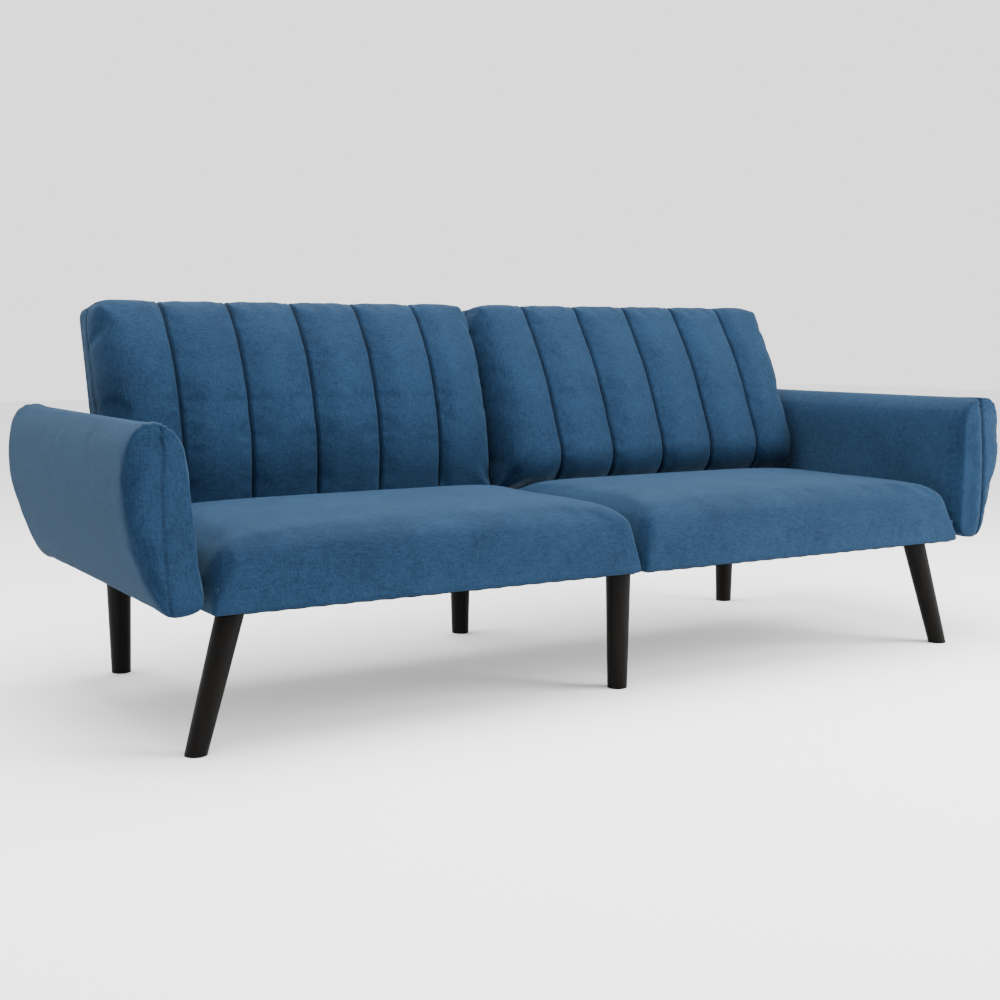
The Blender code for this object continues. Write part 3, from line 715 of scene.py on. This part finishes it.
class Nodes:
    """A short way to wire one material's nodes."""

    def __init__(self, name):
        self.material = bpy.data.materials.new(name)
        self.material.use_nodes = True
        self.tree = self.material.node_tree
        self.shader = self.tree.nodes["Principled BSDF"]
        self.place = self.tree.nodes.new("ShaderNodeTexCoord")

    def link(self, source, target):
        self.tree.links.new(source, target)

    def value(self, socket, source):
        """Sets the socket to a number, or links it to another node's output."""
        if isinstance(source, float):
            socket.default_value = source
        else:
            self.link(source, socket)

    def math(self, operation, a, b=0.0, c=0.0):
        node = self.tree.nodes.new("ShaderNodeMath")
        node.operation = operation
        for socket, source in zip(node.inputs, (a, b, c)):
            self.value(socket, source)
        return node.outputs[0]

    def split(self, vector):
        node = self.tree.nodes.new("ShaderNodeSeparateXYZ")
        self.link(vector, node.inputs[0])
        return node.outputs

    def scaled(self, vector, scale):
        node = self.tree.nodes.new("ShaderNodeMapping")
        self.link(vector, node.inputs["Vector"])
        node.inputs["Scale"].default_value = scale
        return node.outputs[0]

    def noise(self, vector, scale, detail=2.0, roughness=0.5):
        node = self.tree.nodes.new("ShaderNodeTexNoise")
        self.link(vector, node.inputs["Vector"])
        node.inputs["Scale"].default_value = scale
        node.inputs["Detail"].default_value = detail
        node.inputs["Roughness"].default_value = roughness
        return node.outputs["Fac"]

    def ramp(self, source, low, high, start, end):
        """Two colours, mixed by source from start to end."""
        node = self.tree.nodes.new("ShaderNodeValToRGB")
        self.link(source, node.inputs[0])
        first, last = node.color_ramp.elements
        first.position, last.position = start, end
        first.color, last.color = (*low, 1.0), (*high, 1.0)
        return node.outputs[0]

    def darken(self, colour, shade):
        """The colour times the shade."""
        node = self.tree.nodes.new("ShaderNodeMix")
        node.data_type = "RGBA"
        node.blend_type = "MULTIPLY"
        node.inputs["Factor"].default_value = 1.0
        self.link(colour, node.inputs[6])
        self.link(shade, node.inputs[7])
        return node.outputs[2]

    def bump(self, height, distance, strength):
        node = self.tree.nodes.new("ShaderNodeBump")
        self.link(height, node.inputs["Height"])
        node.inputs["Distance"].default_value = distance
        node.inputs["Strength"].default_value = strength
        self.link(node.outputs[0], self.shader.inputs["Normal"])


def linen_material(name, dark, light):
    """Plain-weave linen: slubby threads both ways on every face, with a soft nap, and painted shade along
    the seams.
    """
    n = Nodes(name)
    place = n.place.outputs["Object"]
    facing = n.split(n.place.outputs["Normal"])
    thread_pitch = 0.0016
    threads, slubs = 0.0, 0.0
    along_axes = n.split(place)
    for axis in range(3):
        seen = n.math("SUBTRACT", 1.0, n.math("ABSOLUTE", facing[axis]))
        stretched = tuple(1.0 if k == axis else 6.0 for k in range(3))
        slub = n.noise(n.scaled(place, stretched), 62.0, 3.0, 0.65)
        slubs = n.math("ADD", slubs, n.math("MULTIPLY", slub, seen))
        wave = n.math("SINE", n.math("MULTIPLY", along_axes[axis], math.tau / thread_pitch))
        threads = n.math("ADD", threads, n.math("MULTIPLY", wave, seen))
    mottle = n.noise(place, 9.0, 3.0, 0.55)
    fleck = n.noise(place, 380.0, 2.0, 0.7)
    tone = n.math("ADD", n.math("MULTIPLY", slubs, 0.36), n.math("MULTIPLY", mottle, 0.22))
    tone = n.math("ADD", tone, n.math("MULTIPLY", threads, 0.03))
    tone = n.math("ADD", tone, n.math("MULTIPLY", fleck, 0.34))
    colour = n.ramp(tone, dark, light, 0.43, 0.83)
    # Painted shade: the colour is darkened by up to three quarters along the seams.
    seam_hold_and_painted_shade = n.tree.nodes.new("ShaderNodeAttribute")
    seam_hold_and_painted_shade.attribute_name = "seam_hold_and_painted_shade"
    shade = n.math("SUBTRACT", 1.0, n.math("MULTIPLY", seam_hold_and_painted_shade.outputs["Fac"], 0.75))
    n.link(n.darken(colour, shade), n.shader.inputs["Base Color"])
    n.link(n.math("MULTIPLY_ADD", mottle, 0.12, 0.76), n.shader.inputs["Roughness"])
    n.shader.inputs["Specular IOR Level"].default_value = 0.06
    n.shader.inputs["Sheen Weight"].default_value = 0.08
    n.shader.inputs["Sheen Roughness"].default_value = 0.45
    n.shader.inputs["Sheen Tint"].default_value = (0.35, 0.60, 0.80, 1.0)
    height = n.math("ADD", n.math("MULTIPLY", threads, 0.5), slubs)
    n.bump(height, 0.0006, 0.55)
    return n.material


def wood_material(name, dark, light, along_axis, roughness=0.6, gloss=0.4):
    """Straight-grained wood: long streaks, growth bands and fine pores."""
    n = Nodes(name)
    stretch = tuple(1.0 if k == along_axis else 14.0 for k in range(3))
    place = n.scaled(n.place.outputs["Object"], stretch)
    streaks = n.noise(place, 5.0, 6.0, 0.62)
    pores = n.noise(place, 60.0, 2.0, 0.7)
    tone = n.math("ADD", n.math("MULTIPLY", streaks, 0.7), n.math("MULTIPLY", pores, 0.3))
    n.link(n.ramp(tone, dark, light, 0.34, 0.66), n.shader.inputs["Base Color"])
    n.link(n.math("MULTIPLY_ADD", pores, 0.2, roughness - 0.1), n.shader.inputs["Roughness"])
    n.shader.inputs["Specular IOR Level"].default_value = gloss
    n.bump(tone, 0.0005, 0.4)
    return n.material


def metal_material(name, dark, light, roughness, metallic):
    """Metal or powder coat with a fine grain and faint handling marks."""
    n = Nodes(name)
    place = n.place.outputs["Object"]
    marks = n.noise(place, 18.0, 4.0, 0.6)
    fine = n.noise(place, 400.0, 2.0)
    n.link(n.ramp(marks, dark, light, 0.35, 0.65), n.shader.inputs["Base Color"])
    rough = n.math("ADD", n.math("MULTIPLY", marks, 0.18), roughness - 0.09)
    n.link(rough, n.shader.inputs["Roughness"])
    n.shader.inputs["Metallic"].default_value = metallic
    n.bump(fine, 0.0002, 0.3)
    return n.material


def cloth_material(name, dark, light, scale=1400.0):
    """Thin non-woven or woven backing cloth."""
    n = Nodes(name)
    place = n.place.outputs["Object"]
    spots = n.noise(place, scale, 1.0)
    cloud = n.noise(place, 30.0, 3.0)
    tone = n.math("ADD", n.math("MULTIPLY", spots, 0.6), n.math("MULTIPLY", cloud, 0.4))
    n.link(n.ramp(tone, dark, light, 0.35, 0.65), n.shader.inputs["Base Color"])
    n.link(n.math("MULTIPLY_ADD", spots, 0.1, 0.85), n.shader.inputs["Roughness"])
    n.shader.inputs["Specular IOR Level"].default_value = 0.12
    n.bump(spots, 0.0004, 0.5)
    return n.material


def paint_nodes():
    """Better materials for the CAD nodes whose shape is right."""
    pine = ((0.40, 0.25, 0.12), (0.66, 0.47, 0.27))
    pine_y = wood_material("pine_along_y", *pine, 1)
    pine_x = wood_material("pine_along_x", *pine, 0)
    pine_z = wood_material("pine_along_z", *pine, 2)
    ply = wood_material("raw_plywood", (0.48, 0.34, 0.19), (0.68, 0.52, 0.33), 1)
    # Painted shade: the leg beams are plain timber, but they get near-black wood that stands for the shade
    # under the seat.
    painted_shade_tones = ((0.008, 0.007, 0.006), (0.024, 0.020, 0.016))
    painted_shade_wood = wood_material("beam_painted_shade_wood", *painted_shade_tones, 1, roughness=0.6, gloss=0.2)
    lacquer = ((0.0008, 0.0007, 0.0006), (0.0040, 0.0032, 0.0026))
    ebony = wood_material("black_satin_wood", *lacquer, 2, roughness=0.5, gloss=0.07)
    zinc = metal_material("zinc_plated_steel", (0.13, 0.135, 0.14), (0.24, 0.245, 0.25), 0.46, 1.0)
    wire = metal_material("oiled_spring_wire", (0.14, 0.14, 0.15), (0.26, 0.27, 0.28), 0.40, 1.0)
    coat = metal_material("black_powder_coat", (0.014, 0.014, 0.014), (0.028, 0.028, 0.029), 0.50, 0.0)
    jute = cloth_material("jute_webbing", (0.30, 0.23, 0.15), (0.52, 0.43, 0.31), 700.0)
    rules = (  # the first start of a name that fits wins
        ("seat_springs", wire), ("back_webbing", jute),
        ("leg_plate", coat), ("leg_beam", painted_shade_wood), ("leg_", ebony), ("hinge_", zinc), ("arm_panel", ply),
        ("seat_inner_rail", pine_y), ("seat_outer_rail", pine_y), ("seat_", pine_x),
        ("back_lower_rail", pine_x), ("back_upper_rail", pine_x), ("back_", pine_z),
    )
    for name, node in frame["nodes"].items():
        if node.hide_render:
            continue
        material = next(chosen for start, chosen in rules if name.startswith(start))
        for place in node.material_slots:
            place.material = material


# ---------------------------------------------------------------- studio


def plain_material(name, colour, roughness):
    n = Nodes(name)
    n.shader.inputs["Base Color"].default_value = (*colour, 1.0)
    n.shader.inputs["Roughness"].default_value = roughness
    return n.material


def make_floor():
    """A wide pale floor, just under the feet."""
    mesh = bpy.data.meshes.new("floor")
    half = FLOOR_HALF
    corners = [(-half, -half, 0), (half, -half, 0), (half, half, 0), (-half, half, 0)]
    mesh.from_pydata(corners, [], [(0, 1, 2, 3)])
    floor = bpy.data.objects.new("floor", mesh)
    SCENE.collection.objects.link(floor)
    floor.location.z = -FLOOR_DROP
    mesh.materials.append(plain_material("pale_floor", (0.86, 0.86, 0.865), 0.9))


def add_area(name, location, target, size, power):
    light = bpy.data.lights.new(name, "AREA")
    light.shape = "RECTANGLE"
    light.size, light.size_y = size
    light.energy = power
    lamp = bpy.data.objects.new(name, light)
    SCENE.collection.objects.link(lamp)
    lamp.location = location
    lamp.rotation_euler = (Vector(target) - Vector(location)).to_track_quat("-Z", "Y").to_euler()


def make_studio():
    """An even white surround, a wide light overhead and a key on the right."""
    world = bpy.data.worlds.new("studio")
    SCENE.world = world
    world.use_nodes = True
    background = world.node_tree.nodes["Background"]
    background.inputs["Color"].default_value = (1.0, 1.0, 1.0, 1.0)
    background.inputs["Strength"].default_value = SURROUND
    add_area("overhead", (-0.5, 0.0, 3.0), (-0.2, 0.0, 0.3), (3.6, 2.6), 290.0)
    add_area("key", (2.5, -2.2, 1.7), (0.4, 0.0, 0.35), (1.8, 1.8), 240.0)


def make_camera():
    """The camera from which the sofa is looked at, a little above the arms and to the left."""
    data = bpy.data.cameras.new("photo_camera")
    data.sensor_width = 36.0
    data.lens = 52.55
    camera = bpy.data.objects.new("photo_camera", data)
    SCENE.collection.objects.link(camera)
    camera.location = (-1.7435, -2.7397, 0.7242)
    camera.rotation_euler = (math.radians(83.6), 0.0, math.radians(-31.1))
    SCENE.camera = camera


def main():
    """Builds the studio, covers each side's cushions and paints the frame."""
    linen = linen_material("blue_linen", (0.0012, 0.0078, 0.0215), (0.0120, 0.0345, 0.0735))
    cambric = cloth_material("black_cambric", (0.005, 0.005, 0.006), (0.016, 0.016, 0.018))
    make_camera()
    make_floor()
    make_studio()
    for word, side in SIDES.items():
        make_seat(word, side, linen)
        make_back(word, side, linen)
        make_arm(word, side, linen)
        make_dust_cover(word, cambric)
        make_lining(word, side, cambric)
    paint_nodes()


main()
